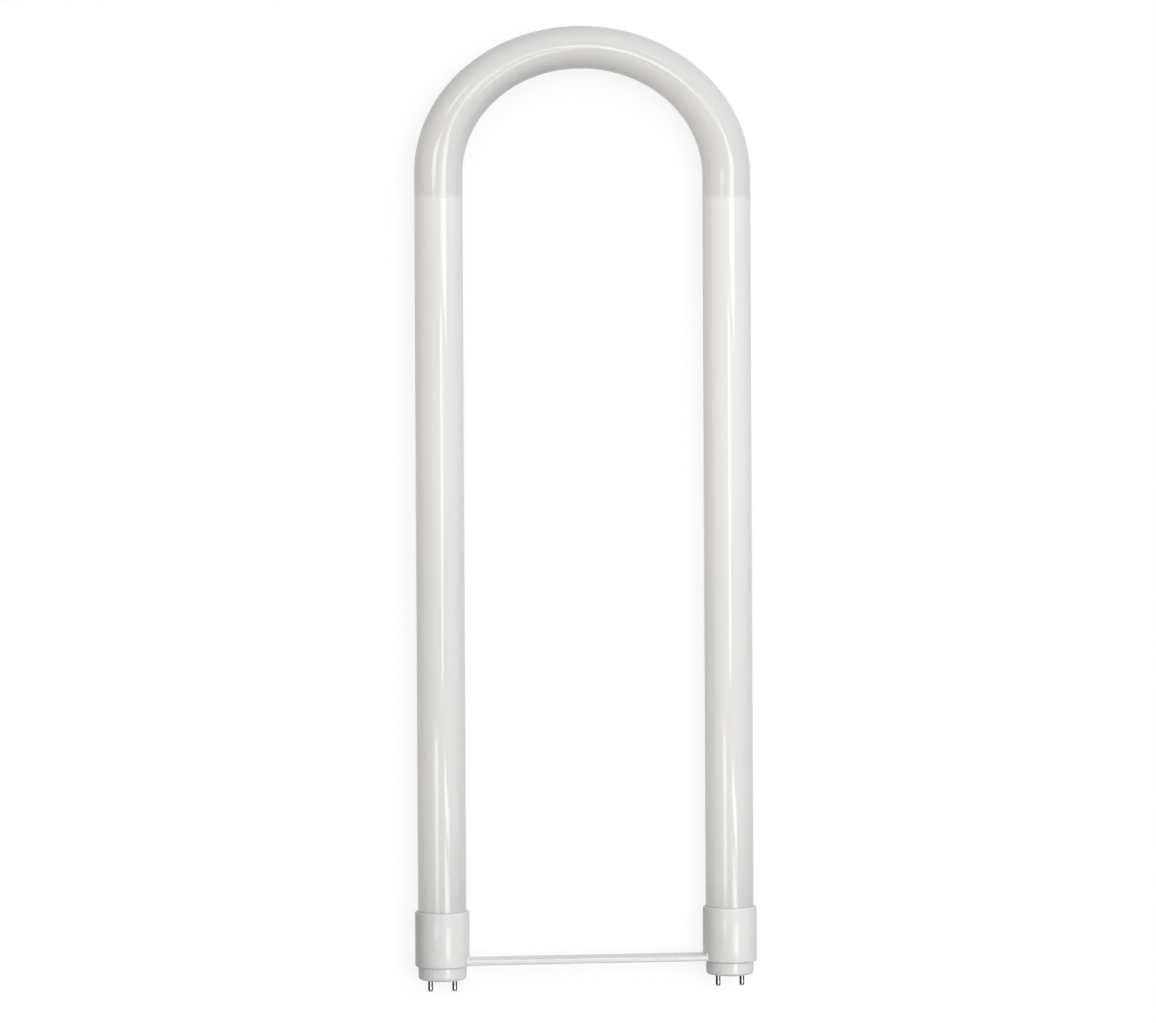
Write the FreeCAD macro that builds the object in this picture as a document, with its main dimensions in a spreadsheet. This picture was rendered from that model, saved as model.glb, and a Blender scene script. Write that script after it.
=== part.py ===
# A U-shaped tube lamp, lying flat, in millimetres.
#
# X runs across the two legs, Y along them towards the bend, and Z up from the surface that the lamp
# lies on. The origin is under the middle of the lamp. Seen from above, with the bend away from the
# viewer, the left leg is on the -X side.
import FreeCAD, Part
import os

import Sketcher

# Driving dimensions
SIZES = {
    # The opal glass, one tube bent into a U
    "leg_spacing": 152.4,  # from the middle of one leg to the middle of the other
    "glass_dia": 25.5,
    "leg_length": 401.5,  # straight glass, from the start of the bend to the cut end
    "bend_rise": 78.0,  # from the start of the bend to the outside of its top
    "bend_sections": 13,  # how many sections the bend is drawn through, its ends with them
    # The white moulding that joins the two ends
    "collar_wall": 1.45,  # the collar's wall round the glass
    "collar_height": 29.0,
    "rim_bevel": 0.9,  # bevel of the collar's outer edge on the glass side
    "foot_bevel": 0.5,  # bevel of its outer edge on the base side
    "glass_seat": 15.0,  # how deep the glass sits in the collar
    "glass_gap": 0.2,  # clearance all round between the glass and the collar's bore
    "stop_thick": 1.6,  # the rib inside the collar that the glass and the base stop against
    "stop_reach": 1.5,  # how far that rib stands in past the outside of the glass
    "bar_thick": 3.0,
    "bar_depth": 14.0,
    "bar_lift": 0.6,  # from the foot of the collars to the underside of the bar
    "bar_fillet": 1.8,  # where the bar runs into the collars
    # The base plug at each end
    "base_inset": 0.05,  # how far the base's side lies inside the line of the glass
    "base_gap": 0.1,  # clearance all round between the base and the collar's bore
    "base_reach": 7.0,  # how far the base stands out of the collar
    "base_bevel": 1.5,  # bevel of the edge round the face that the pins stand in
    "base_floor": 2.8,
    "base_wall": 1.6,
    # The contact pins
    "pin_spacing": 12.7,
    "pin_dia": 2.5,
    "pin_reach": 6.5,  # how far a pin stands out of the base
    "pin_tip_bevel": 0.6,
    "pin_root_dia": 2.1,  # inside the base, where the pin is thinner and stands on a shoulder
    "pin_gap": 0.03,  # clearance all round between that root and its hole
    "pin_tail": 1.2,  # how far the root stands into the base, where its wire is fixed
}

# Sizes and places worked out from them
SQUEEZE = "dims.bend_rise / (dims.leg_spacing / 2 + dims.glass_dia / 2)"
LENGTH_BELOW_GLASS = "dims.collar_height - dims.glass_seat + dims.base_reach + dims.pin_reach"
OVERALL_LENGTH = f"(dims.bend_rise + dims.leg_length + {LENGTH_BELOW_GLASS})"
GLASS_BORE = "(dims.glass_dia + 2 * dims.glass_gap)"
COLLAR_DIA = f"({GLASS_BORE} + 2 * dims.collar_wall)"
AXIS_HEIGHT = f"{COLLAR_DIA} / 2"
BEND_PLACE = f"{OVERALL_LENGTH} / 2 - dims.bend_rise"
TIP_PLACE = f"-{OVERALL_LENGTH} / 2"
BASE_PLACE = f"{TIP_PLACE} + dims.pin_reach"
COLLAR_PLACE = f"{BASE_PLACE} + dims.base_reach"
BASE_DIA = "(dims.glass_dia - 2 * dims.base_inset)"
BASE_BORE = f"({BASE_DIA} + 2 * dims.base_gap)"
STOP_BORE = "(dims.glass_dia - 2 * dims.stop_reach)"
BASE_SEAT = "(dims.collar_height - dims.glass_seat - dims.stop_thick)"
BASE_LENGTH = f"(dims.base_reach + {BASE_SEAT})"
BASE_HOLLOW = f"({BASE_DIA} - 2 * dims.base_wall)"
PIN_LENGTH = "(dims.pin_reach + dims.base_floor + dims.pin_tail)"
PIN_HOLE = "(dims.pin_root_dia + 2 * dims.pin_gap)"

os.makedirs("parts", exist_ok=True)
doc = FreeCAD.newDocument("tube_lamp")

sheet = doc.addObject("Spreadsheet::Sheet", "dims")
for row, (alias, value) in enumerate(SIZES.items(), start=1):
    sheet.set(f"A{row}", alias)
    sheet.set(f"B{row}", str(value))
    sheet.setAlias(f"B{row}", alias)
doc.recompute()


def size(expression):
    """The length that an expression on the sheet's cells gives now."""
    return float(sheet.evalExpression(expression))


def place(thing, across, along):
    """Puts a piece at its distance across and along the lamp, on the height of the tube's axis."""
    thing.setExpression("Placement.Base.x", across)
    thing.setExpression("Placement.Base.y", along)
    thing.setExpression("Placement.Base.z", AXIS_HEIGHT)


def new_body(name, across, along):
    body = doc.addObject("PartDesign::Body", name)
    body.Label = name
    place(body, across, along)
    return body


def new_sketch(body, name, plane, lift=None):
    """A sketch on one of the body's own planes, moved along +Y by lift where the plane faces Y."""
    sketch = body.newObject("Sketcher::SketchObject", name)
    origin_plane = next(f for f in body.Origin.OriginFeatures if f.Role == plane)
    sketch.AttachmentSupport = [(origin_plane, "")]
    sketch.MapMode = "FlatFace"
    if lift:
        sketch.setExpression("AttachmentOffset.Base.z", f"-({lift})")
    return sketch


def hold(sketch, line, point, kind, expression):
    """Ties one point of a line or circle to its signed distance from the sketch's origin."""
    if expression == "0":
        axis = -2 if kind == "DistanceX" else -1
        sketch.addConstraint(Sketcher.Constraint("PointOnObject", line, point, axis))
        return
    constraint = Sketcher.Constraint(kind, -1, 1, line, point, size(expression))
    number = sketch.addConstraint(constraint)
    sketch.setExpression(f"Constraints[{number}]", expression)


def draw_outline(sketch, corners):
    """A closed outline of straight lines, each corner a pair of expressions."""
    spots = [FreeCAD.Vector(size(across), size(along), 0) for across, along in corners]
    count = len(corners)
    for number in range(count):
        sketch.addGeometry(Part.LineSegment(spots[number], spots[(number + 1) % count]))
    for number in range(count):
        joint = Sketcher.Constraint("Coincident", number, 2, (number + 1) % count, 1)
        sketch.addConstraint(joint)
    for number, (across, along) in enumerate(corners):
        hold(sketch, number, 1, "DistanceX", across)
        hold(sketch, number, 1, "DistanceY", along)


def draw_circle(sketch, across, diameter):
    """A circle on the sketch's horizontal axis."""
    middle = FreeCAD.Vector(size(across), 0, 0)
    circle = sketch.addGeometry(Part.Circle(middle, FreeCAD.Vector(0, 0, 1), size(diameter) / 2))
    hold(sketch, circle, 3, "DistanceX", across)
    hold(sketch, circle, 3, "DistanceY", "0")
    number = sketch.addConstraint(Sketcher.Constraint("Diameter", circle, size(diameter)))
    sketch.setExpression(f"Constraints[{number}]", diameter)


def finish_feature(body, feature):
    body.Tip = feature
    doc.recompute()
    return feature


def pad(body, sketch, name, length, both_ways=False):
    """Material from the sketch, along +Y, or to both sides of the sketch."""
    feature = body.newObject("PartDesign::Pad", name)
    feature.Profile = sketch
    feature.SideType = "Symmetric" if both_ways else "One side"
    feature.Reversed = not both_ways
    feature.setExpression("Length", length)
    return finish_feature(body, feature)


def pocket(body, sketch, name, length, towards_bend):
    """Takes material away from the sketch's plane, along +Y or -Y, and checks that it did."""
    before = body.Shape.Volume
    feature = body.newObject("PartDesign::Pocket", name)
    feature.Profile = sketch
    feature.Reversed = not towards_bend
    feature.setExpression("Length", length)
    finish_feature(body, feature)
    if not body.Shape.Volume < before:
        raise RuntimeError(f"{body.Label}: {name} takes nothing away")
    return feature


def turn(body, sketch, name):
    """A full turn of the sketch about the body's Y axis."""
    feature = body.newObject("PartDesign::Revolution", name)
    feature.Profile = sketch
    feature.ReferenceAxis = (sketch, ["V_Axis"])
    feature.Angle = 360
    return finish_feature(body, feature)


def edges_where(body, test):
    """The names of the edges, in the body's own frame, that pass the test."""
    names = [f"Edge{n}" for n, edge in enumerate(body.Tip.Shape.Edges, start=1) if test(edge)]
    if not names:
        raise RuntimeError(f"{body.Label}: no such edge")
    return names


def break_edges(body, kind, name, expression, test):
    """Rounds (Fillet) or bevels (Chamfer) the edges that pass the test."""
    names = edges_where(body, test)
    base = body.Tip
    feature = body.newObject(f"PartDesign::{kind}", name)
    feature.Base = (base, names)
    feature.setExpression("Radius" if kind == "Fillet" else "Size", expression)
    return finish_feature(body, feature)


def is_circle(edge, diameter, along):
    """True for a whole circle of this diameter, square to Y, at this distance along."""
    curve = edge.Curve
    return (
        isinstance(curve, Part.Circle)
        and edge.isClosed()
        and abs(curve.Radius - diameter / 2) < 1e-4
        and abs(curve.Center.y - along) < 1e-4
    )


# The glass: a bend drawn through the sections of a half ring that is pressed down along the legs to
# the bend's rise, and two straight legs. Pressed so, a section is an ellipse, as high as the tube
# and thinner the nearer it is to the top of the bend.
def build_bend_section(number, angle):
    along, across = f"sin({angle} deg)", f"cos({angle} deg)"
    section = doc.addObject("Part::Ellipse", f"bend_section_{number}")
    section.setExpression("MajorRadius", "dims.glass_dia / 2")
    thinner = f"sqrt({across} ^ 2 + ({SQUEEZE} * {along}) ^ 2)"
    section.setExpression("MinorRadius", f"dims.glass_dia / 2 * min(1; {thinner})")
    outwards = FreeCAD.Vector(size(across), size(SQUEEZE) * size(along), 0)
    up = FreeCAD.Vector(0, 0, 1)
    section.Placement.Rotation = FreeCAD.Rotation(up, outwards, up.cross(outwards), "XYZ")
    place(
        section,
        f"dims.leg_spacing / 2 * {across}",
        f"{BEND_PLACE} + {SQUEEZE} * dims.leg_spacing / 2 * {along}",
    )
    return section


def build_glass_tube():
    steps = round(size("dims.bend_sections")) - 1
    bend = doc.addObject("Part::Loft", "bend")
    bend.Sections = [build_bend_section(step, 180 * step / steps) for step in range(steps + 1)]
    bend.Solid = True
    doc.recompute()

    legs = []
    for side, name in ((-1, "left_leg"), (1, "right_leg")):
        leg = doc.addObject("Part::Cylinder", name)
        leg.setExpression("Radius", "dims.glass_dia / 2")
        leg.setExpression("Height", "dims.leg_length")
        leg.Placement.Rotation = FreeCAD.Rotation(FreeCAD.Vector(1, 0, 0), 90)
        place(leg, f"{side} * dims.leg_spacing / 2", BEND_PLACE)
        legs.append(leg)

    glass = doc.addObject("Part::MultiFuse", "glass_tube")
    glass.Label = "glass_tube"
    glass.Shapes = [bend, *legs]
    doc.recompute()
    return glass


# The fitting at the ends: two collars joined by a flat bar, all one moulding
def build_tie_bracket():
    body = new_body("tie_bracket", "0", COLLAR_PLACE)
    sides = ("-dims.leg_spacing / 2", "dims.leg_spacing / 2")
    bar_top = "(dims.bar_lift + dims.bar_thick)"

    rings = new_sketch(body, "collar_rings", "XZ_Plane")
    for side in sides:
        draw_circle(rings, side, COLLAR_DIA)
    pad(body, rings, "collars", "dims.collar_height")
    outside, collar_height = size(COLLAR_DIA), size("dims.collar_height")
    break_edges(
        body, "Chamfer", "rims", "dims.rim_bevel", lambda e: is_circle(e, outside, collar_height)
    )
    break_edges(body, "Chamfer", "feet", "dims.foot_bevel", lambda e: is_circle(e, outside, 0))

    bar_face = new_sketch(body, "bar_face", "XY_Plane")
    draw_outline(
        bar_face,
        [
            (sides[0], "dims.bar_lift"),
            (sides[1], "dims.bar_lift"),
            (sides[1], bar_top),
            (sides[0], bar_top),
        ],
    )
    pad(body, bar_face, "bar", "dims.bar_depth", both_ways=True)

    # The bar's upper face and its two sides run into the collars in a fillet
    gap_edge = size(f"dims.leg_spacing / 2 - {COLLAR_DIA} / 2")
    top, depth = size(bar_top), size("dims.bar_depth")

    def at_root(edge):
        middle = edge.CenterOfMass
        beside_collar = gap_edge < abs(middle.x) < gap_edge + depth / 2
        on_top = abs(middle.y - top) < 1e-4
        on_side = abs(abs(middle.z) - depth / 2) < 1e-4
        return beside_collar and (on_top or on_side)

    break_edges(body, "Fillet", "bar_roots", "dims.bar_fillet", at_root)

    # The bore from both ends, and the rib left between them
    bores = (
        ("glass_bore", "dims.collar_height", GLASS_BORE, "dims.glass_seat", False),
        ("base_bore", "0", BASE_BORE, BASE_SEAT, True),
        ("stop_bore", "0", STOP_BORE, "dims.collar_height", True),
    )
    for name, start, diameter, depth_in, towards_bend in bores:
        sketch = new_sketch(body, f"{name}_rings", "XZ_Plane", lift=start)
        for side in sides:
            draw_circle(sketch, side, diameter)
        pocket(body, sketch, name, depth_in, towards_bend)
    return body


# A base plug: a moulded cup, open towards the glass, with a hole for each pin
def build_end_cap(name, across):
    body = new_body(name, across, BASE_PLACE)

    wall = new_sketch(body, "cup_outline", "XY_Plane")
    draw_outline(
        wall,
        [
            ("0", "0"),
            (f"{BASE_DIA} / 2", "0"),
            (f"{BASE_DIA} / 2", BASE_LENGTH),
            (f"{BASE_HOLLOW} / 2", BASE_LENGTH),
            (f"{BASE_HOLLOW} / 2", "dims.base_floor"),
            ("0", "dims.base_floor"),
        ],
    )
    turn(body, wall, "cup")
    outside = size(BASE_DIA)
    break_edges(body, "Chamfer", "nose", "dims.base_bevel", lambda e: is_circle(e, outside, 0))

    holes = new_sketch(body, "hole_rings", "XZ_Plane")
    for side in ("-dims.pin_spacing / 2", "dims.pin_spacing / 2"):
        draw_circle(holes, side, PIN_HOLE)
    pocket(body, holes, "pin_holes", "dims.base_floor", towards_bend=True)
    return body


# A contact pin: a turned shank with a bevelled tip and a shoulder that stands on the base, and a
# thinner root through the base
def build_pin(name, across):
    body = new_body(name, across, TIP_PLACE)

    half = new_sketch(body, "pin_outline", "XY_Plane")
    draw_outline(
        half,
        [
            ("0", "0"),
            ("dims.pin_dia / 2", "0"),
            ("dims.pin_dia / 2", "dims.pin_reach"),
            ("dims.pin_root_dia / 2", "dims.pin_reach"),
            ("dims.pin_root_dia / 2", PIN_LENGTH),
            ("0", PIN_LENGTH),
        ],
    )
    turn(body, half, "shank")
    shank = size("dims.pin_dia")
    break_edges(body, "Chamfer", "tip", "dims.pin_tip_bevel", lambda e: is_circle(e, shank, 0))
    return body


pieces = [build_glass_tube(), build_tie_bracket()]
for side, leg_name in ((-1, "left"), (1, "right")):
    leg_axis = f"{side} * dims.leg_spacing / 2"
    pieces.append(build_end_cap(f"end_cap_{leg_name}", leg_axis))
    for way, pin_name in ((1, "outer"), (-1, "inner")):
        pin_axis = f"{side} * (dims.leg_spacing / 2 + {way} * dims.pin_spacing / 2)"
        pieces.append(build_pin(f"pin_{leg_name}_{pin_name}", pin_axis))

doc.recompute()
for thing in doc.Objects:
    if "Invalid" in thing.State or "Error" in thing.State:
        raise RuntimeError(f"{thing.Label} failed: {thing.State}")
for piece in pieces:
    if piece.Shape.isNull() or not piece.Shape.isValid() or len(piece.Shape.Solids) != 1:
        raise RuntimeError(f"{piece.Label} is not one valid solid")
    piece.Shape.exportStep(f"parts/{piece.Label}.step")
    box = piece.Shape.optimalBoundingBox()
    print(
        f"{piece.Label}: {piece.Shape.Volume:.1f} mm3, {box.XLength:.2f} x {box.YLength:.2f} x "
        f"{box.ZLength:.2f} mm, from {box.XMin:.2f}, {box.YMin:.2f}, {box.ZMin:.2f}"
    )
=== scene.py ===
# %% [markdown]
# A U-shaped tube lamp: an opal glass tube bent into a U, a white moulding that ties its two ends
# together, and a white base with two plated pins on each end. It lies flat on a pale floor and the
# camera looks down on it. Everything is in metres. X runs across the two legs, Y along them towards
# the bend, and Z up from the floor. The measured model is loaded first. It stays as it is, and the
# pieces made below take the places of its own.

# %% Load the measured model
import math

import bmesh
import bpy
from mathutils import Matrix, Vector


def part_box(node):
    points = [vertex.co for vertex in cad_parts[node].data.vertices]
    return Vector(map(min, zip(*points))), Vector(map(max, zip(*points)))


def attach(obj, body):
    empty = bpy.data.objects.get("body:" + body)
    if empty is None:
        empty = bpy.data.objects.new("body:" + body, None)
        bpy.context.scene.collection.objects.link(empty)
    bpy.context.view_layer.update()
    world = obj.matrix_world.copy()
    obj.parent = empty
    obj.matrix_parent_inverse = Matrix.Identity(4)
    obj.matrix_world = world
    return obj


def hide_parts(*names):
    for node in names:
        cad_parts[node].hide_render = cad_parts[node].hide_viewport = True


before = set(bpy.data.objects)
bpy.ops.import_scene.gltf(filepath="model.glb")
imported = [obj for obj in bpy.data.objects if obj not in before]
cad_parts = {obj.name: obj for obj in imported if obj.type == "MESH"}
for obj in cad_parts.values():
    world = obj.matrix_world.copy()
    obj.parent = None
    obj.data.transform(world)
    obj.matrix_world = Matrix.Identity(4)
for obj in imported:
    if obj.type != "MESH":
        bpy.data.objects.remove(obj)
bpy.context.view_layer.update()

# %% [markdown]
# Most sizes can be read from the measured pieces: the glass tube's thickness is the height of its
# box, and the two legs stand as far apart as the box is wide, less one tube. Reading them keeps the
# looks and the measured model together. Only what a box can't tell is written down: where the bend
# starts here, and the bores of the fitting further down.

# %% Sizes
glass_low, glass_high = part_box("glass_tube")
GLASS_RADIUS = (glass_high.z - glass_low.z) / 2
AXIS_HEIGHT = (glass_high.z + glass_low.z) / 2
LEG_X = (glass_high.x - glass_low.x) / 2 - GLASS_RADIUS
BEND_RISE = 0.078
BEND_START = glass_high.y - BEND_RISE
print("tube radius and half spacing in mm:", round(GLASS_RADIUS * 1000, 2), round(LEG_X * 1000, 2))

# %% [markdown]
# An operator works on whatever is selected. So every step starts with nothing selected, or with one
# piece alone, and inside a piece the points, edges or faces are picked by a rule on their place. By
# hand they would be clicked, but a rule still holds when a size changes.


# %% Helpers for picking
def start_fresh():
    if bpy.context.object and bpy.context.object.mode != "OBJECT":
        bpy.ops.object.mode_set(mode="OBJECT")
    bpy.ops.object.select_all(action="DESELECT")


def select_only(piece):
    start_fresh()
    piece.select_set(True)
    bpy.context.view_layer.objects.active = piece


def pick(rule, kind="VERT"):
    """In edit mode, selects the elements whose middle passes the rule."""
    piece = bpy.context.object
    bpy.ops.mesh.select_mode(type=kind)
    bpy.ops.mesh.select_all(action="DESELECT")
    mesh = bmesh.from_edit_mesh(piece.data)
    elements = {"VERT": mesh.verts, "EDGE": mesh.edges, "FACE": mesh.faces}[kind]
    chosen = 0
    for element in elements:
        if kind == "VERT":
            middle = element.co
        elif kind == "EDGE":
            middle = (element.verts[0].co + element.verts[1].co) / 2
        else:
            middle = element.calc_center_median()
        if rule(middle):
            element.select_set(True)
            chosen += 1
    bmesh.update_edit_mesh(piece.data)
    return chosen


def is_near(value, target, slack=1e-5):
    return abs(value - target) < slack


# %% [markdown]
# Every round piece of the lamp is drawn out along Y, so that gets a helper. A second helper finishes
# a piece: its doubles are merged, its faces are turned outwards, it is shaded smooth up to an angle,
# and it takes the place of the measured pieces that it replaces.

# %% Helpers for shaping and finishing
SMOOTH_UP_TO = 35


def draw_out(distance):
    """Extrudes what is selected and moves it along Y."""
    bpy.ops.mesh.extrude_region_move(TRANSFORM_OT_translate={"value": (0, distance, 0)})


def finish_piece(piece, name, material, nodes):
    """Cleans the mesh, puts its place into the mesh, and gives it its body, slot and material."""
    select_only(piece)
    bpy.ops.object.transform_apply(location=True, rotation=True, scale=True)
    bpy.ops.object.mode_set(mode="EDIT")
    bpy.ops.mesh.select_all(action="SELECT")
    bpy.ops.mesh.remove_doubles(threshold=1e-6)
    bpy.ops.mesh.normals_make_consistent(inside=False)
    bpy.ops.object.mode_set(mode="OBJECT")
    bpy.ops.object.shade_smooth_by_angle(angle=math.radians(SMOOTH_UP_TO))
    piece.name = name
    piece.data.name = name
    piece.data.materials.clear()
    piece.data.materials.append(material)
    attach(piece, "root")
    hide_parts(*nodes)
    print(name, "has", len(piece.data.polygons), "faces")


# %% [markdown]
# A material is a small network of nodes. The first helper adds a node, fills its inputs and links it
# in one call, so that a finish reads as a short list of what it does. The last one is for the floor
# and the room, which look whiter than the light that they throw on the lamp.


# %% Helpers for materials
def add_node(tree, kind, inputs=None, **settings):
    node = tree.nodes.new(kind)
    for key, value in settings.items():
        setattr(node, key, value)
    for key, value in (inputs or {}).items():
        if isinstance(value, bpy.types.NodeSocket):
            tree.links.new(value, node.inputs[key])
        else:
            node.inputs[key].default_value = value
    return node


def new_material(name):
    material = bpy.data.materials.new(name)
    material.use_nodes = True
    tree = material.node_tree
    tree.nodes.clear()
    shader = add_node(tree, "ShaderNodeBsdfPrincipled")
    add_node(tree, "ShaderNodeOutputMaterial", {"Surface": shader.outputs["BSDF"]})
    return material, tree, shader


def seen_or_mirrored(tree):
    """One for what is seen directly, in a mirror image or through glass, and zero for its light."""
    ray = add_node(tree, "ShaderNodeLightPath")
    seen = add_node(tree, "ShaderNodeMath", {
        0: ray.outputs["Is Camera Ray"],
        1: ray.outputs["Is Glossy Ray"],
    }, operation="ADD")
    either = add_node(tree, "ShaderNodeMath", {
        0: seen.outputs[0],
        1: ray.outputs["Is Transmission Ray"],
    }, operation="ADD", use_clamp=True)
    return either.outputs[0]


# %% [markdown]
# All the white surfaces are a little uneven in tone, and all carry faint marks of handling. Each
# finish could have its own noise, but a node group is built once, and every finish then uses it with
# its own scale and strength.


# %% Shared effects
def new_group(name, inputs, outputs):
    group = bpy.data.node_groups.new(name, "ShaderNodeTree")
    for title, value in inputs.items():
        socket = group.interface.new_socket(title, in_out="INPUT", socket_type="NodeSocketFloat")
        socket.default_value = value
    for title in outputs:
        group.interface.new_socket(title, in_out="OUTPUT", socket_type="NodeSocketFloat")
    return group, group.nodes.new("NodeGroupInput"), group.nodes.new("NodeGroupOutput")


def build_uneven_tone():
    """Clouds in the tone of a white surface: a value around one."""
    group, given, result = new_group("uneven tone", {"Scale": 30.0, "Strength": 0.02}, ["Tone"])
    place = add_node(group, "ShaderNodeTexCoord")
    clouds = add_node(group, "ShaderNodeTexNoise", {
        "Vector": place.outputs["Object"],
        "Scale": given.outputs["Scale"],
        "Detail": 4.0,
        "Roughness": 0.55,
    })
    spread = add_node(group, "ShaderNodeMath", {0: clouds.outputs["Fac"], 1: 0.5}, operation="SUBTRACT")
    scaled = add_node(group, "ShaderNodeMath", {0: spread.outputs[0], 1: given.outputs["Strength"], 2: 1.0},
                      operation="MULTIPLY_ADD")
    group.links.new(scaled.outputs[0], result.inputs["Tone"])
    return group


def build_handling_marks():
    """Smudges and fine wipe marks, as a roughness to add."""
    group, given, result = new_group("handling marks", {"Scale": 60.0, "Amount": 0.05}, ["Roughness"])
    place = add_node(group, "ShaderNodeTexCoord")
    stretched = add_node(group, "ShaderNodeMapping", {
        "Vector": place.outputs["Object"],
        "Scale": (1, 0.35, 1),
    })
    smudges = add_node(group, "ShaderNodeTexNoise", {
        "Vector": stretched.outputs["Vector"],
        "Scale": given.outputs["Scale"],
        "Detail": 6.0,
        "Roughness": 0.65,
    })
    cut = add_node(group, "ShaderNodeMapRange", {
        "Value": smudges.outputs["Fac"],
        "From Min": 0.45,
        "From Max": 0.75,
    })
    amount = add_node(group, "ShaderNodeMath", {0: cut.outputs[0], 1: given.outputs["Amount"]},
                      operation="MULTIPLY")
    group.links.new(amount.outputs[0], result.inputs["Roughness"])
    return group


uneven_tone = build_uneven_tone()
handling_marks = build_handling_marks()
print("shared effects:", uneven_tone.name, "and", handling_marks.name)


def use_group(tree, group, **inputs):
    node = add_node(tree, "ShaderNodeGroup", node_tree=group)
    for key, value in inputs.items():
        node.inputs[key].default_value = value
    return node


def toned_colour(tree, colour, tone):
    """The colour, made lighter or darker by a tone around one."""
    scaled = add_node(tree, "ShaderNodeVectorMath", {0: colour, "Scale": tone}, operation="SCALE")
    return scaled.outputs[0]


# %% [markdown]
# The opal glass is clear glass with a white coat inside. Its outside is a smooth, hard surface, so
# lamps show in it as sharp streaks, and the white below is soft. Real transmission would be slow and
# noisy here, so the coat is a plain colour under a glossy surface. Above a line on both legs the tube
# looks greyer, because the light strips inside end there. Below that line a colour ramp along the leg
# paints shade into the coat: it is whitest just under the line and darker towards the collars, where
# the collars shade it and less light falls.

# %% Tone of the opal glass, with painted shade towards the collars
COAT_FROM, COAT_TO = -0.2110, 0.1800
TONE_LINE = 0.1631
TONE_EDGE = 0.0006
TONE_AT_LINE = 0.99
GLASS_ROUGHNESS = 0.05
OPAL_WHITE = (0.655, 0.655, 0.653, 1.0)
OPAL_GREY = (0.577, 0.576, 0.573, 1.0)
# Painted shade: these tones darken the coat from the tone line towards the collars.
PAINTED_SHADE_ALONG_LEG = (
    (COAT_FROM, 0.72),
    (-0.1930, 0.79),
    (-0.1500, 0.86),
    (-0.0500, 0.895),
    (0.0300, 0.955),
    (0.1400, 0.975),
    (0.1540, 0.99),
)

opal_glass, tree, shader = new_material("opal_glass")
place = add_node(tree, "ShaderNodeTexCoord")
along = add_node(tree, "ShaderNodeSeparateXYZ", {"Vector": place.outputs["Object"]})
along_leg = add_node(tree, "ShaderNodeMapRange", {
    "Value": along.outputs["Y"],
    "From Min": COAT_FROM,
    "From Max": COAT_TO,
})
# The ramp gives the coat's own white and grey, with painted shade along the leg.
coat_and_shade = add_node(tree, "ShaderNodeValToRGB", {"Fac": along_leg.outputs[0]})
ramp = coat_and_shade.color_ramp


def share_along(where):
    """A place along the leg as a share of the ramp's length."""
    return (where - COAT_FROM) / (COAT_TO - COAT_FROM)


shade_along_leg = list(PAINTED_SHADE_ALONG_LEG) + [(TONE_LINE - TONE_EDGE, TONE_AT_LINE)]
for count, (where, tone) in enumerate(shade_along_leg):
    stop = ramp.elements[0] if count == 0 else ramp.elements.new(share_along(where))
    stop.position = share_along(where)
    stop.color = [channel * tone for channel in OPAL_WHITE[:3]] + [1.0]
grey_stop = ramp.elements[len(ramp.elements) - 1]
grey_stop.position = share_along(TONE_LINE + TONE_EDGE)
grey_stop.color = OPAL_GREY
glass_tone = use_group(tree, uneven_tone, Scale=14.0, Strength=0.05)
glass_marks = use_group(tree, handling_marks, Scale=45.0, Amount=0.05)
colour = toned_colour(tree, coat_and_shade.outputs["Color"], glass_tone.outputs["Tone"])
tree.links.new(colour, shader.inputs["Base Color"])
rough = add_node(tree, "ShaderNodeMath", {0: glass_marks.outputs["Roughness"], 1: GLASS_ROUGHNESS},
                 operation="ADD")
tree.links.new(rough.outputs[0], shader.inputs["Roughness"])
shader.inputs["IOR"].default_value = 1.5
print("coat has", len(ramp.elements), "stops")

# %% [markdown]
# Where the tone changes, the glass has a faint step, which kinks the streaks. Drawn glass also has
# long, shallow waves. They could be modelled, but both are less than a tenth of a millimetre high, so
# a bump in the material does for them, and the mesh stays plain.

# %% Step and waves in the glass
STEP_LENGTH = 0.0016
WAVE_HEIGHT = 0.6

glass_step = add_node(tree, "ShaderNodeMapRange", {
    "Value": along.outputs["Y"],
    "From Min": TONE_LINE - STEP_LENGTH,
    "From Max": TONE_LINE,
}, interpolation_type="SMOOTHSTEP")
draw_marks = add_node(tree, "ShaderNodeMapping", {"Vector": place.outputs["Object"], "Scale": (1, 0.12, 1)})
waves = add_node(tree, "ShaderNodeTexNoise", {
    "Vector": draw_marks.outputs["Vector"],
    "Scale": 60.0,
    "Detail": 1.0,
})
height = add_node(tree, "ShaderNodeMath", {
    0: waves.outputs["Fac"],
    1: WAVE_HEIGHT,
    2: glass_step.outputs[0],
}, operation="MULTIPLY_ADD")
bump = add_node(tree, "ShaderNodeBump", {"Height": height.outputs[0], "Strength": 0.25, "Distance": 0.0002})
tree.links.new(bump.outputs["Normal"], shader.inputs["Normal"])
print("made", opal_glass.name)

# %% [markdown]
# The fitting and the bases are moulded from white plastic, whose mould leaves a fine grain. More
# roughness alone would make it matt. So it stays glossy, and a bump of fine noise breaks the mirror
# images of the lamps up into soft, broad glints.

# %% Moulded plastics
PLASTIC_ROUGHNESS = 0.06


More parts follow.
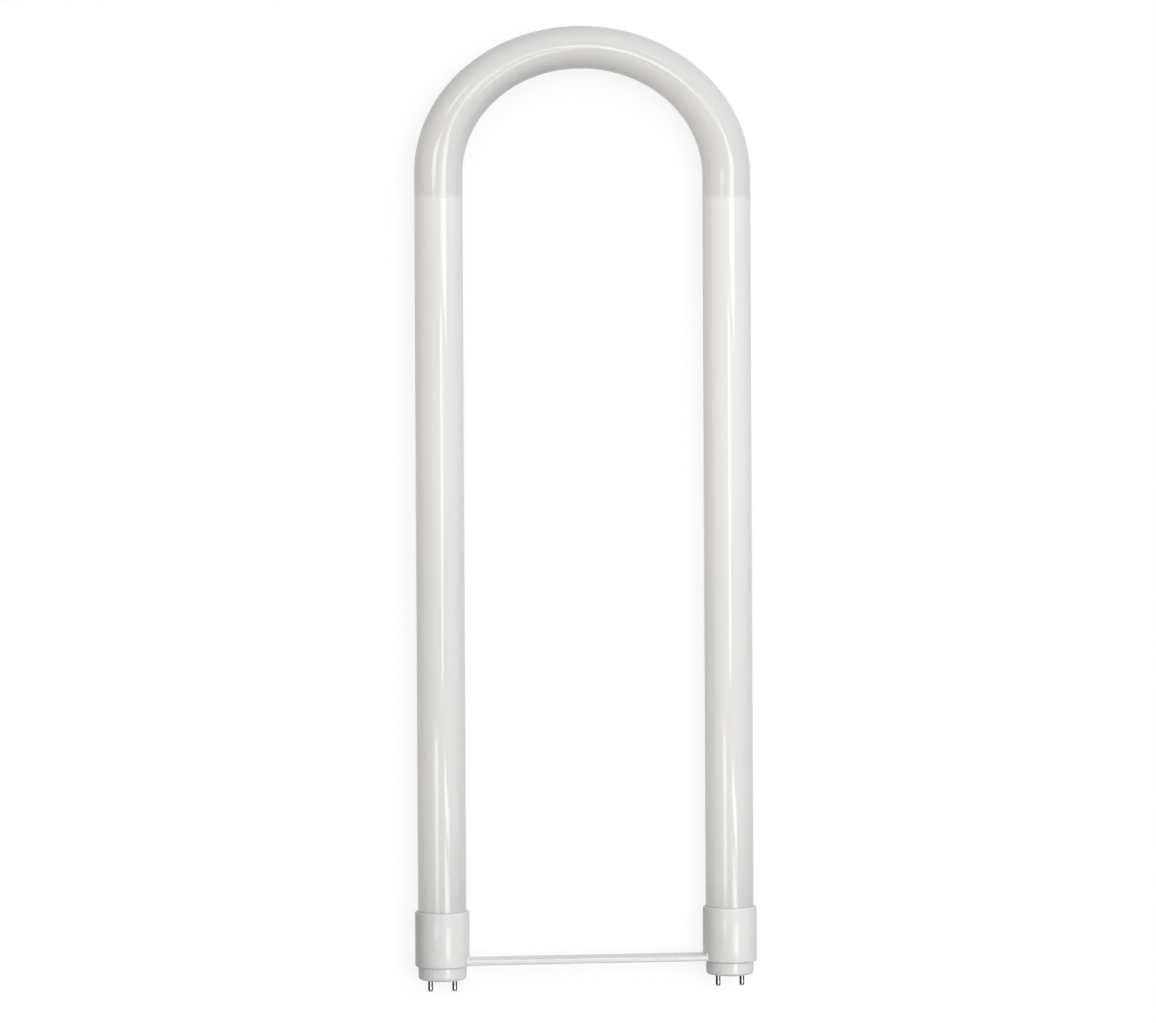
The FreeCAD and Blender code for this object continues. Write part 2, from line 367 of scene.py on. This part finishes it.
def moulded_plastic(name, colour):
    material, tree, shader = new_material(name)
    tone = use_group(tree, uneven_tone, Scale=90.0, Strength=0.05)
    marks = use_group(tree, handling_marks, Scale=120.0, Amount=0.05)
    white = add_node(tree, "ShaderNodeRGB")
    white.outputs[0].default_value = colour
    tree.links.new(toned_colour(tree, white.outputs[0], tone.outputs["Tone"]), shader.inputs["Base Color"])
    rough = add_node(tree, "ShaderNodeMath", {0: marks.outputs["Roughness"], 1: PLASTIC_ROUGHNESS},
                     operation="ADD")
    tree.links.new(rough.outputs[0], shader.inputs["Roughness"])
    place = add_node(tree, "ShaderNodeTexCoord")
    grains = add_node(tree, "ShaderNodeTexNoise", {
        "Vector": place.outputs["Object"],
        "Scale": 1800.0,
        "Detail": 2.0,
    })
    bump = add_node(tree, "ShaderNodeBump", {
        "Height": grains.outputs["Fac"],
        "Strength": 0.3,
        "Distance": 0.00003,
    })
    tree.links.new(bump.outputs["Normal"], shader.inputs["Normal"])
    shader.inputs["IOR"].default_value = 1.45
    shader.inputs["Specular IOR Level"].default_value = 0.4
    return material


bracket_plastic = moulded_plastic("bracket_plastic", (0.785, 0.785, 0.783, 1.0))
base_plastic = moulded_plastic("base_plastic", (0.785, 0.782, 0.778, 1.0))
print("made", bracket_plastic.name, "and", base_plastic.name)

# %% [markdown]
# The pins are nickel-plated brass. A bright line along the front and back of each is a painted
# highlight, and the nearly black flanks beside it are painted dark reflection. The line could be a
# strip of faces with its own material, but a mask in the material can have a ragged edge. It is found
# from the distance to the pin's own axis, which is the same for all four pins once the model is
# folded in half twice.

# %% Painted highlight line and dark flanks on the plating
PIN_FOLD = 0.00635
HIGHLIGHT_UP_TO = 0.00040
DARK_FLANK_FROM = 0.00072
RAGGED_EDGE = 0.0005
# Painted dark reflection on the flanks and painted highlight along the front and back.
PAINTED_DARK_FLANK = (0.03, 0.03, 0.029, 1.0)
PAINTED_HIGHLIGHT = (0.50, 0.50, 0.49, 1.0)

pin_plating, tree, shader = new_material("pin_plating")
place = add_node(tree, "ShaderNodeTexCoord")
axes = add_node(tree, "ShaderNodeSeparateXYZ", {"Vector": place.outputs["Object"]})
from_middle = add_node(tree, "ShaderNodeMath", {0: axes.outputs["X"]}, operation="ABSOLUTE")
from_leg = add_node(tree, "ShaderNodeMath", {0: from_middle.outputs[0], 1: LEG_X}, operation="SUBTRACT")
folded = add_node(tree, "ShaderNodeMath", {0: from_leg.outputs[0]}, operation="ABSOLUTE")
from_axis = add_node(tree, "ShaderNodeMath", {0: folded.outputs[0], 1: PIN_FOLD}, operation="SUBTRACT")
flank = add_node(tree, "ShaderNodeMath", {0: from_axis.outputs[0]}, operation="ABSOLUTE")
stretched = add_node(tree, "ShaderNodeMapping", {"Vector": place.outputs["Object"], "Scale": (1, 0.08, 1)})
scratches_and_highlight_edge = add_node(tree, "ShaderNodeTexNoise", {
    "Vector": stretched.outputs["Vector"],
    "Scale": 2500.0,
    "Detail": 3.0,
})
# The noise gives both the scratches' roughness and the ragged edge of the painted highlight.
ragged_highlight_edge = add_node(tree, "ShaderNodeMath", {
    0: scratches_and_highlight_edge.outputs["Fac"],
    1: RAGGED_EDGE,
    2: flank.outputs[0],
}, operation="MULTIPLY_ADD")
# Mask of the painted highlight: one along the pin's front and back, zero on its flanks.
highlight_mask = add_node(tree, "ShaderNodeMapRange", {
    "Value": ragged_highlight_edge.outputs[0],
    "From Min": HIGHLIGHT_UP_TO,
    "From Max": DARK_FLANK_FROM,
    "To Min": 1.0,
    "To Max": 0.0,
}, interpolation_type="SMOOTHSTEP")
plating = add_node(tree, "ShaderNodeValToRGB", {"Fac": highlight_mask.outputs[0]})
plating.color_ramp.elements[0].color = PAINTED_DARK_FLANK
plating.color_ramp.elements[1].color = PAINTED_HIGHLIGHT
print("plating goes from", PAINTED_DARK_FLANK[0], "to", PAINTED_HIGHLIGHT[0])

# %% [markdown]
# The punch mark near a pin's tip shines a little more than the rest. The dent itself is modelled
# with the pin. Here a spot that is almost twice as long as wide brightens the plating's colour: a
# painted glint, because the dent is too small to show its glint by its shape alone.

# %% Painted glint at the punch mark on the plating
PUNCH_MIDDLE = -0.2513
PUNCH_SHORTENING = 0.55
PUNCH_FULL_UP_TO = 0.00045
PUNCH_GONE_FROM = 0.00065
PUNCH_GLINT_GAIN = 0.45

along_punch = add_node(tree, "ShaderNodeMath", {0: axes.outputs["Y"], 1: PUNCH_MIDDLE}, operation="SUBTRACT")
long_way = add_node(tree, "ShaderNodeMath", {0: along_punch.outputs[0], 1: PUNCH_SHORTENING},
                    operation="MULTIPLY")
from_punch = add_node(tree, "ShaderNodeCombineXYZ", {"X": flank.outputs[0], "Y": long_way.outputs[0]})
reach = add_node(tree, "ShaderNodeVectorMath", {0: from_punch.outputs[0]}, operation="LENGTH")
# Painted glint: the plating's colour is made brighter in a spot around the dent.
painted_punch_glint = add_node(tree, "ShaderNodeMapRange", {
    "Value": reach.outputs["Value"],
    "From Min": PUNCH_FULL_UP_TO,
    "From Max": PUNCH_GONE_FROM,
    "To Min": PUNCH_GLINT_GAIN,
    "To Max": 0.0,
}, interpolation_type="SMOOTHSTEP")
punch_glint_gain = add_node(tree, "ShaderNodeMath", {0: painted_punch_glint.outputs[0], 1: 1.0}, operation="ADD")
plated = toned_colour(tree, plating.outputs["Color"], punch_glint_gain.outputs[0])
tree.links.new(plated, shader.inputs["Base Color"])
metal_rough = add_node(tree, "ShaderNodeMapRange", {
    "Value": scratches_and_highlight_edge.outputs["Fac"],
    "To Min": 0.22,
    "To Max": 0.38,
})
tree.links.new(metal_rough.outputs[0], shader.inputs["Roughness"])
shader.inputs["Metallic"].default_value = 1.0
shader.inputs["Specular Tint"].default_value = (0.25, 0.25, 0.25, 1.0)
print("made", pin_plating.name)

# %% [markdown]
# The glass was one straight tube before it was bent. It could be a curve with a round section, but
# it is modelled the way it was made, which keeps one row of faces from end to end: a ring is drawn
# out along the first leg, swept round half a turn, and drawn out along the second leg. The sweep
# gives a round bend. Pressing it down along the legs then gives it the bend's measured rise.

# %% Glass tube
RING_POINTS = 96
BEND_STEPS = 120
LEG_STEPS = 8
CUT_END = glass_low.y
SQUEEZE = BEND_RISE / (LEG_X + GLASS_RADIUS)
leg_step = (BEND_START - CUT_END) / LEG_STEPS


def add_disc(radius, middle, points=RING_POINTS, fill="NGON"):
    """A disc or an open ring across Y, with its place put into its mesh."""
    start_fresh()
    bpy.ops.mesh.primitive_circle_add(
        vertices=points,
        radius=radius,
        fill_type=fill,
        location=middle,
        rotation=(math.radians(90), 0, 0),
    )
    bpy.ops.object.transform_apply(location=True, rotation=True, scale=True)
    return bpy.context.object


glass = add_disc(GLASS_RADIUS, (LEG_X, CUT_END, AXIS_HEIGHT), fill="NOTHING")
bpy.ops.object.mode_set(mode="EDIT")
bpy.ops.mesh.select_all(action="SELECT")
for step in range(LEG_STEPS):
    draw_out(leg_step)
bpy.ops.mesh.spin(
    steps=BEND_STEPS,
    angle=math.pi,
    center=(0, BEND_START, AXIS_HEIGHT),
    axis=(0, 0, -1),
)
for step in range(LEG_STEPS):
    draw_out(-leg_step)
pick(lambda place: place.y > BEND_START + 1e-6)
bpy.ops.transform.resize(value=(1, SQUEEZE, 1), center_override=(0, BEND_START, AXIS_HEIGHT))
for side in (-1, 1):
    pick(lambda place: is_near(place.y, CUT_END) and place.x * side > 0)
    bpy.ops.mesh.edge_face_add()
finish_piece(glass, "opal_tube", opal_glass, ["glass_tube"])

# %% [markdown]
# The fitting is one moulding: two collars and the flat bar between them. It could be drawn out from
# one ring of faces, but the round collars and the flat bar meet in a curve that is hard to draw by
# hand. So each collar is a cylinder with its rim and foot rounded, and a union joins both to the bar.

# %% Collars
bracket_low, bracket_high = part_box("tie_bracket")
COLLAR_RADIUS = (bracket_high.z - bracket_low.z) / 2
FOOT, RIM = bracket_low.y, bracket_high.y
RIM_ROUND = 0.0012
FOOT_ROUND = 0.0009


def add_rod(side, radius, low, high):
    """A cylinder on a leg's axis, from low to high along Y, with its place put into its mesh."""
    start_fresh()
    bpy.ops.mesh.primitive_cylinder_add(
        vertices=RING_POINTS,
        radius=radius,
        depth=high - low,
        location=(side * LEG_X, (low + high) / 2, AXIS_HEIGHT),
        rotation=(math.radians(90), 0, 0),
    )
    bpy.ops.object.transform_apply(location=True, rotation=True, scale=True)
    return bpy.context.object


def make_collar(side):
    collar = add_rod(side, COLLAR_RADIUS, FOOT, RIM)
    bpy.ops.object.mode_set(mode="EDIT")
    for along, rounding in ((RIM, RIM_ROUND), (FOOT, FOOT_ROUND)):
        pick(lambda place: is_near(place.y, along), "EDGE")
        bpy.ops.mesh.bevel(offset=rounding, segments=5, affect="EDGES")
    bpy.ops.object.mode_set(mode="OBJECT")
    return collar


print("collars are", round((RIM - FOOT) * 1000, 1), "mm high")

# %% [markdown]
# The bar is a block whose two long edges on the side of the bend are rounded, as in the mould. Where
# it runs into the collars the union leaves a sharp corner. So the edges there are picked by their
# place and get a wider bevel, which shows as a small fillet.

# %% Bar between the collars
BAR_DEPTH = 0.014
BAR_THICKNESS = 0.003
BAR_LIFT = 0.0006
BAR_EDGE = 0.0007
BAR_ROOT = 0.0018
bar_top = FOOT + BAR_LIFT + BAR_THICKNESS


def combine(piece, other, operation):
    """Joins the other piece to this one, or cuts it out."""
    select_only(piece)
    step = piece.modifiers.new(operation.lower(), "BOOLEAN")
    step.operation = operation
    step.solver = "EXACT"
    step.object = other
    bpy.ops.object.modifier_apply(modifier=step.name)
    bpy.data.objects.remove(other)


start_fresh()
bpy.ops.mesh.primitive_cube_add(size=1, location=(0, bar_top - BAR_THICKNESS / 2, AXIS_HEIGHT))
bracket = bpy.context.object
bracket.scale = (2 * LEG_X, BAR_THICKNESS, BAR_DEPTH)
bpy.ops.object.transform_apply(location=True, rotation=True, scale=True)
bpy.ops.object.mode_set(mode="EDIT")
pick(lambda place: is_near(place.x, 0) and place.y > FOOT + BAR_LIFT, "EDGE")
bpy.ops.mesh.bevel(offset=BAR_EDGE, segments=3, affect="EDGES")
bpy.ops.object.mode_set(mode="OBJECT")
for side in (-1, 1):
    combine(bracket, make_collar(side), "UNION")


def at_root(place):
    across = math.hypot(abs(place.x) - LEG_X, place.z - AXIS_HEIGHT)
    return is_near(place.y, bar_top, 1e-4) and is_near(across, COLLAR_RADIUS, 1e-4) and abs(place.x) < LEG_X


select_only(bracket)
bpy.ops.object.mode_set(mode="EDIT")
print("root edges:", pick(at_root, "EDGE"))
bpy.ops.mesh.bevel(offset=BAR_ROOT, segments=5, affect="EDGES")
bpy.ops.object.mode_set(mode="OBJECT")
print("one moulding with", len(bracket.data.polygons), "faces before its bores")

# %% [markdown]
# Each collar has a bore in three steps: one for the glass, one for the base, and a narrow one through
# the rib between them, on which both stop. The cores of the mould form them. They could be inset and
# pushed in, but both ends are open, so here round plugs cut them out. Each plug stands past the
# surface that it breaks through, because a cut that ends exactly on a face can leave a skin.

# %% Bores of the collars
GLASS_GAP = 0.0002
BASE_GAP = 0.0001
STOP_REACH = 0.0015
STOP_THICKNESS = 0.0016
PLUG_PAST = 0.001
cap_low, cap_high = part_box("end_cap_left")
BASE_RADIUS = (cap_high.z - cap_low.z) / 2
bore_steps = (
    (GLASS_RADIUS + GLASS_GAP, CUT_END, RIM + PLUG_PAST),
    (GLASS_RADIUS - STOP_REACH, FOOT - PLUG_PAST, RIM + 2 * PLUG_PAST),
    (BASE_RADIUS + BASE_GAP, FOOT - PLUG_PAST, CUT_END - STOP_THICKNESS),
)
for side in (-1, 1):
    for radius, low, high in bore_steps:
        combine(bracket, add_rod(side, radius, low, high), "DIFFERENCE")
finish_piece(bracket, "tie_moulding", bracket_plastic, ["tie_bracket"])

# %% [markdown]
# Each base is a moulded cup whose open end is inside the collar. What shows is its side and the
# round edge that runs into the face with the pins. It could be a turned outline, but a disc that is
# drawn out, inset and pushed back in needs no outline, and a bevel then rounds its edge.

# %% Bases
BASE_ROUND = 0.0017
BASE_WALL = 0.0016
BASE_FLOOR = 0.0028
FACE, CUP_END = cap_low.y, cap_high.y


def make_base(side, name, node):
    base = add_disc(BASE_RADIUS, (side * LEG_X, FACE, AXIS_HEIGHT))
    bpy.ops.object.mode_set(mode="EDIT")
    bpy.ops.mesh.select_all(action="SELECT")
    draw_out(CUP_END - FACE)
    bpy.ops.mesh.inset(thickness=BASE_WALL)
    draw_out(FACE + BASE_FLOOR - CUP_END)
    pick(lambda place: is_near(place.y, FACE), "EDGE")
    bpy.ops.mesh.bevel(offset=BASE_ROUND, segments=8, affect="EDGES")
    bpy.ops.object.mode_set(mode="OBJECT")
    finish_piece(base, name, base_plastic, [node])


make_base(-1, "left_base", "end_cap_left")
make_base(1, "right_base", "end_cap_right")

# %% [markdown]
# A pin is a disc that is drawn out in steps, with its tip rounded by a bevel. A punch has fixed it to
# its wire and left a small dent near the tip. A boolean could cut it, but a patch of faces on the
# front that is inset and pushed in gives the soft edge of a punched mark.

# %% Pins
PIN_POINTS = 32
PIN_RADIUS = 0.00125
ROOT_RADIUS = 0.00105
TIP_ROUND = 0.0010
PUNCH_LENGTH = 0.0015
PUNCH_DEPTH = 0.00030
PUNCH_EDGE = 0.00015
PUNCH_FROM_HEIGHT = AXIS_HEIGHT + 0.93 * PIN_RADIUS


def at_punch(place):
    return place.z > PUNCH_FROM_HEIGHT and abs(place.y - PUNCH_MIDDLE) < PUNCH_LENGTH / 4


def make_pin(node, name):
    low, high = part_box(node)
    middle = ((low.x + high.x) / 2, low.y, AXIS_HEIGHT)
    pin = add_disc(PIN_RADIUS, middle, PIN_POINTS)
    bpy.ops.object.mode_set(mode="EDIT")
    bpy.ops.mesh.select_all(action="SELECT")
    last = low.y
    for station in (PUNCH_MIDDLE - PUNCH_LENGTH / 2, PUNCH_MIDDLE + PUNCH_LENGTH / 2, FACE):
        draw_out(station - last)
        last = station
    thinner = ROOT_RADIUS / PIN_RADIUS
    draw_out(0)
    bpy.ops.transform.resize(value=(thinner, 1, thinner), center_override=middle)
    draw_out(high.y - last)
    pick(lambda place: is_near(place.y, low.y), "EDGE")
    bpy.ops.mesh.bevel(offset=TIP_ROUND, segments=6, affect="EDGES")
    pick(at_punch, "FACE")
    bpy.ops.mesh.inset(thickness=PUNCH_EDGE, depth=-PUNCH_DEPTH)
    bpy.ops.object.mode_set(mode="OBJECT")
    finish_piece(pin, name, pin_plating, [node])


for node in ("pin_left_outer", "pin_left_inner", "pin_right_inner", "pin_right_outer"):
    make_pin(node, node.replace("pin_", "plated_pin_"))

# %% [markdown]
# The floor is pale and keeps the lamp's soft shadow. A truly white one would light the lamp from
# below too much. So it is grey, and a lift towards white is added only for what the camera sees and
# for what glass and metal mirror.

# %% Floor
FLOOR_SIZE = 12.0
FLOOR_COLOUR = (0.20, 0.20, 0.20, 1.0)
FLOOR_LIFT = 0.84

start_fresh()
bpy.ops.mesh.primitive_plane_add(size=FLOOR_SIZE, location=(0, 0, 0))
floor = bpy.context.object
floor.name = "floor"
floor_paint = bpy.data.materials.new("floor_paint")
floor_paint.use_nodes = True
tree = floor_paint.node_tree
tree.nodes.clear()
matt = add_node(tree, "ShaderNodeBsdfDiffuse", {"Color": FLOOR_COLOUR})
lift = add_node(tree, "ShaderNodeMath", {0: seen_or_mirrored(tree), 1: FLOOR_LIFT}, operation="MULTIPLY")
glow = add_node(tree, "ShaderNodeEmission", {"Strength": lift.outputs[0]})
both = add_node(tree, "ShaderNodeAddShader", {0: matt.outputs[0], 1: glow.outputs[0]})
add_node(tree, "ShaderNodeOutputMaterial", {"Surface": both.outputs[0]})
floor.data.materials.append(floor_paint)
print("floor is", FLOOR_SIZE, "m wide")

# %% [markdown]
# The light is that of a bright room: soft from all round, brighter from the right and from above,
# dimmer from the left. One sky that goes from dim to bright gives softer shading than a few lamps
# would. What the camera sees past the floor, and what glass and metal mirror, is plain white.

# %% Room light
# A Mix node has sockets for every kind of value, so those for colours are found by their numbers.
MIX_FACTOR, MIX_FIRST, MIX_SECOND, MIX_RESULT = 0, 6, 7, 2
DIM_LIGHT = (0.105, 0.096, 0.082, 1.0)
BRIGHT_LIGHT = (1.21, 1.21, 1.21, 1.0)
BRIGHT_SIDE = (0.400, 0.420, 0.815)
DIM_UP_TO = 0.41

world = bpy.data.worlds.new("room")
bpy.context.scene.world = world
world.use_nodes = True
tree = world.node_tree
tree.nodes.clear()
direction = add_node(tree, "ShaderNodeTexCoord")
towards = add_node(tree, "ShaderNodeVectorMath", {0: direction.outputs["Generated"], 1: BRIGHT_SIDE},
                   operation="DOT_PRODUCT")
openness = add_node(tree, "ShaderNodeMapRange", {
    "Value": towards.outputs["Value"],
    "From Min": DIM_UP_TO,
    "From Max": 1.0,
}, interpolation_type="SMOOTHSTEP")
room_light = add_node(tree, "ShaderNodeMix", {
    MIX_FACTOR: openness.outputs[0],
    MIX_FIRST: DIM_LIGHT,
    MIX_SECOND: BRIGHT_LIGHT,
}, data_type="RGBA")
room = add_node(tree, "ShaderNodeBackground", {"Color": room_light.outputs[MIX_RESULT], "Strength": 1.0})
white = add_node(tree, "ShaderNodeBackground", {"Color": (1.0, 1.0, 1.0, 1.0), "Strength": 1.0})
shown = add_node(tree, "ShaderNodeMixShader", {
    0: seen_or_mirrored(tree),
    1: room.outputs[0],
    2: white.outputs[0],
})
add_node(tree, "ShaderNodeOutputWorld", {"Surface": shown.outputs[0]})
print("bright side faces", BRIGHT_SIDE)

# %% [markdown]
# Small ceiling panels hardly light the lamp, but they are what the glass mirrors as long streaks.
# They could be glowing planes, but area lamps make cleaner streaks in less time. Panels with a louvre
# throw a narrow beam: they shine on the two ends of the lamp and stay nearly dark for the bend.

# %% Ceiling panel
PANEL_HEIGHT = 1.914


def add_panel(name, middle, size, radiance, turn=0.0, aim=None, half_spread=90):
    """A flat lamp that faces down, or its aim where a louvre narrows its beam. Its power is its
    radiance times pi times its area, and less by the louvre's share."""
    lamp = bpy.data.lights.new(name, "AREA")
    lamp.shape = "RECTANGLE"
    lamp.size, lamp.size_y = size
    lamp.energy = radiance * math.pi * size[0] * size[1]
    panel = bpy.data.objects.new(name, lamp)
    panel.location = (middle[0], middle[1], PANEL_HEIGHT)
    panel.rotation_euler = (0, 0, math.radians(turn))
    if aim:
        half = math.radians(half_spread)
        lamp.spread = 2 * half
        lamp.energy *= 1 - half / math.tan(half)
        tilt = Vector((0, 0, -1)).rotation_difference(Vector(aim) - panel.location)
        panel.rotation_euler = (tilt.to_matrix() @ Matrix.Rotation(math.radians(turn), 3, "Z")).to_euler()
    bpy.context.scene.collection.objects.link(panel)


print("panels hang", PANEL_HEIGHT, "m over the floor")

# %% [markdown]
# The panels' places were found by mirroring the streaks in the photograph back from the glass to the
# ceiling. The middle one gives the streak half way down the legs, and the left and right ones give
# the streaks near the bend and near the ends. The rest give the fine lines in the bend, where a
# small panel high over it is mirrored as one thin arc, because the glass curves both ways there.

# %% Ceiling panels
END_AIM = (0.0, -0.28, 0.0)
LEFT_LOUVRE = {"aim": END_AIM, "half_spread": 15}
RIGHT_LOUVRE = {"turn": -5, "aim": END_AIM, "half_spread": 24}
add_panel("panel_middle", middle=(0.09, 0.0), size=(0.32, 0.40), radiance=4.6)
add_panel("panel_right_top", middle=(0.75, 0.345), size=(0.75, 0.31), radiance=4.7, turn=-5)
add_panel("panel_left_top", middle=(-0.94, 0.51), size=(0.70, 0.32), radiance=4.8)
add_panel("panel_left_bottom", middle=(-1.0, -0.375), size=(0.78, 0.20), radiance=5.4, **LEFT_LOUVRE)
add_panel("panel_right_strip", middle=(0.69, -0.352), size=(0.90, 0.05), radiance=8.5, **RIGHT_LOUVRE)
add_panel("panel_right_bottom", middle=(0.69, -0.585), size=(0.90, 0.34), radiance=7.5, **RIGHT_LOUVRE)
add_panel("panel_small_left", middle=(0.02, 0.50), size=(0.16, 0.16), radiance=3.2)
add_panel("panel_small_right", middle=(0.44, 0.06), size=(0.14, 0.22), radiance=3.2)
add_panel("panel_far", middle=(0.62, 1.12), size=(0.35, 0.20), radiance=2.4)
add_panel("panel_near", middle=(-0.30, -1.02), size=(0.60, 0.20), radiance=2.4)
add_panel("panel_over_bend", middle=(0.23, 0.29), size=(0.09, 0.09), radiance=8.0)
add_panel("panel_far_left", middle=(-0.98, 1.25), size=(0.50, 0.40), radiance=3.6)
print("hung", sum(light.type == "AREA" for light in bpy.data.lights), "panels")

# %% [markdown]
# The left leg throws some light on the flank of the right one that faces it, and opal glass throws
# more than plain white paint does. A brighter colour would lighten the whole tube, so a weak lamp
# between the legs, which isn't seen or mirrored, adds what is missing.

# %% Light between the legs
BETWEEN_SIZE = (0.45, 0.10)
BETWEEN_PLACE = (-0.03, 0.0, 0.16)
BETWEEN_RADIANCE = 0.6
between_lamp = bpy.data.lights.new("between_legs", "AREA")
between_lamp.shape = "RECTANGLE"
between_lamp.size, between_lamp.size_y = BETWEEN_SIZE
between_lamp.energy = BETWEEN_RADIANCE * math.pi * BETWEEN_SIZE[0] * BETWEEN_SIZE[1]
between_lamp.color = (1.0, 0.98, 0.95)
between = bpy.data.objects.new("between_legs", between_lamp)
between.location = BETWEEN_PLACE
between.rotation_euler = (math.radians(90), 0, math.radians(-90))
between.visible_camera = False
between.visible_glossy = False
bpy.context.scene.collection.objects.link(between)
print("lamp between the legs has", round(between_lamp.energy, 3), "W")

# %% [markdown]
# Opal glass passes on some of the light that falls on its far side, which a plain surface doesn't.
# Two soft, low lights stand in for that. They are linked to the glass alone, and aren't mirrored.

# %% Light through the opal
THROUGH_SPREAD = 100
only_glass = bpy.data.collections.new("only_glass")
only_glass.objects.link(bpy.data.objects["opal_tube"])


def add_through_light(name, towards, energy, colour):
    glow = bpy.data.lights.new(name, "SUN")
    glow.energy = energy
    glow.color = colour
    glow.angle = math.radians(THROUGH_SPREAD)
    through = bpy.data.objects.new(name, glow)
    through.rotation_euler = Vector(towards).to_track_quat("Z", "Y").to_euler()
    through.visible_glossy = False
    through.light_linking.receiver_collection = only_glass
    bpy.context.scene.collection.objects.link(through)


FROM_LEFT, FROM_RIGHT = (-0.86, -0.48, 0.14), (0.86, 0.48, 0.14)
add_through_light("through_from_left", FROM_LEFT, energy=2.45, colour=(1.0, 0.965, 0.92))
add_through_light("through_from_right", FROM_RIGHT, energy=1.7, colour=(1.0, 1.0, 1.0))

# %% [markdown]
# The camera stands a little to the left and looks down on the lamp. It could be placed by eye, but
# its place was found by fitting the lamp's outlines in the photograph: it turns by three small angles
# and stands 1.8 m away. A long lens gives the picture's weak perspective.

# %% Camera
VIEW_YAW, VIEW_PITCH, VIEW_ROLL = 5.9704, 0.5262, 0.2912
VIEW_DISTANCE = 1.81156
AIM = Vector((-0.0034745, -0.0019478, AXIS_HEIGHT))
FOCAL_PIXELS = 3440.1
PHOTO_WIDTH = 1156
SENSOR_WIDTH = 36.0

turn = (
    Matrix.Rotation(math.radians(VIEW_ROLL), 3, "Z")
    @ Matrix.Rotation(math.radians(VIEW_PITCH), 3, "X")
    @ Matrix.Rotation(math.radians(VIEW_YAW), 3, "Y")
)
lens = bpy.data.cameras.new("camera")
lens.sensor_fit = "HORIZONTAL"
lens.sensor_width = SENSOR_WIDTH
lens.lens = SENSOR_WIDTH * FOCAL_PIXELS / PHOTO_WIDTH
lens.clip_end = 50.0
camera = bpy.data.objects.new("camera", lens)
back = turn.transposed()
camera.matrix_world = Matrix.Translation(AIM + back @ Vector((0, 0, VIEW_DISTANCE))) @ back.to_4x4()
bpy.context.scene.collection.objects.link(camera)
bpy.context.scene.camera = camera
bpy.context.scene.view_settings.view_transform = "Standard"
print("camera at", [round(v, 3) for v in camera.location])
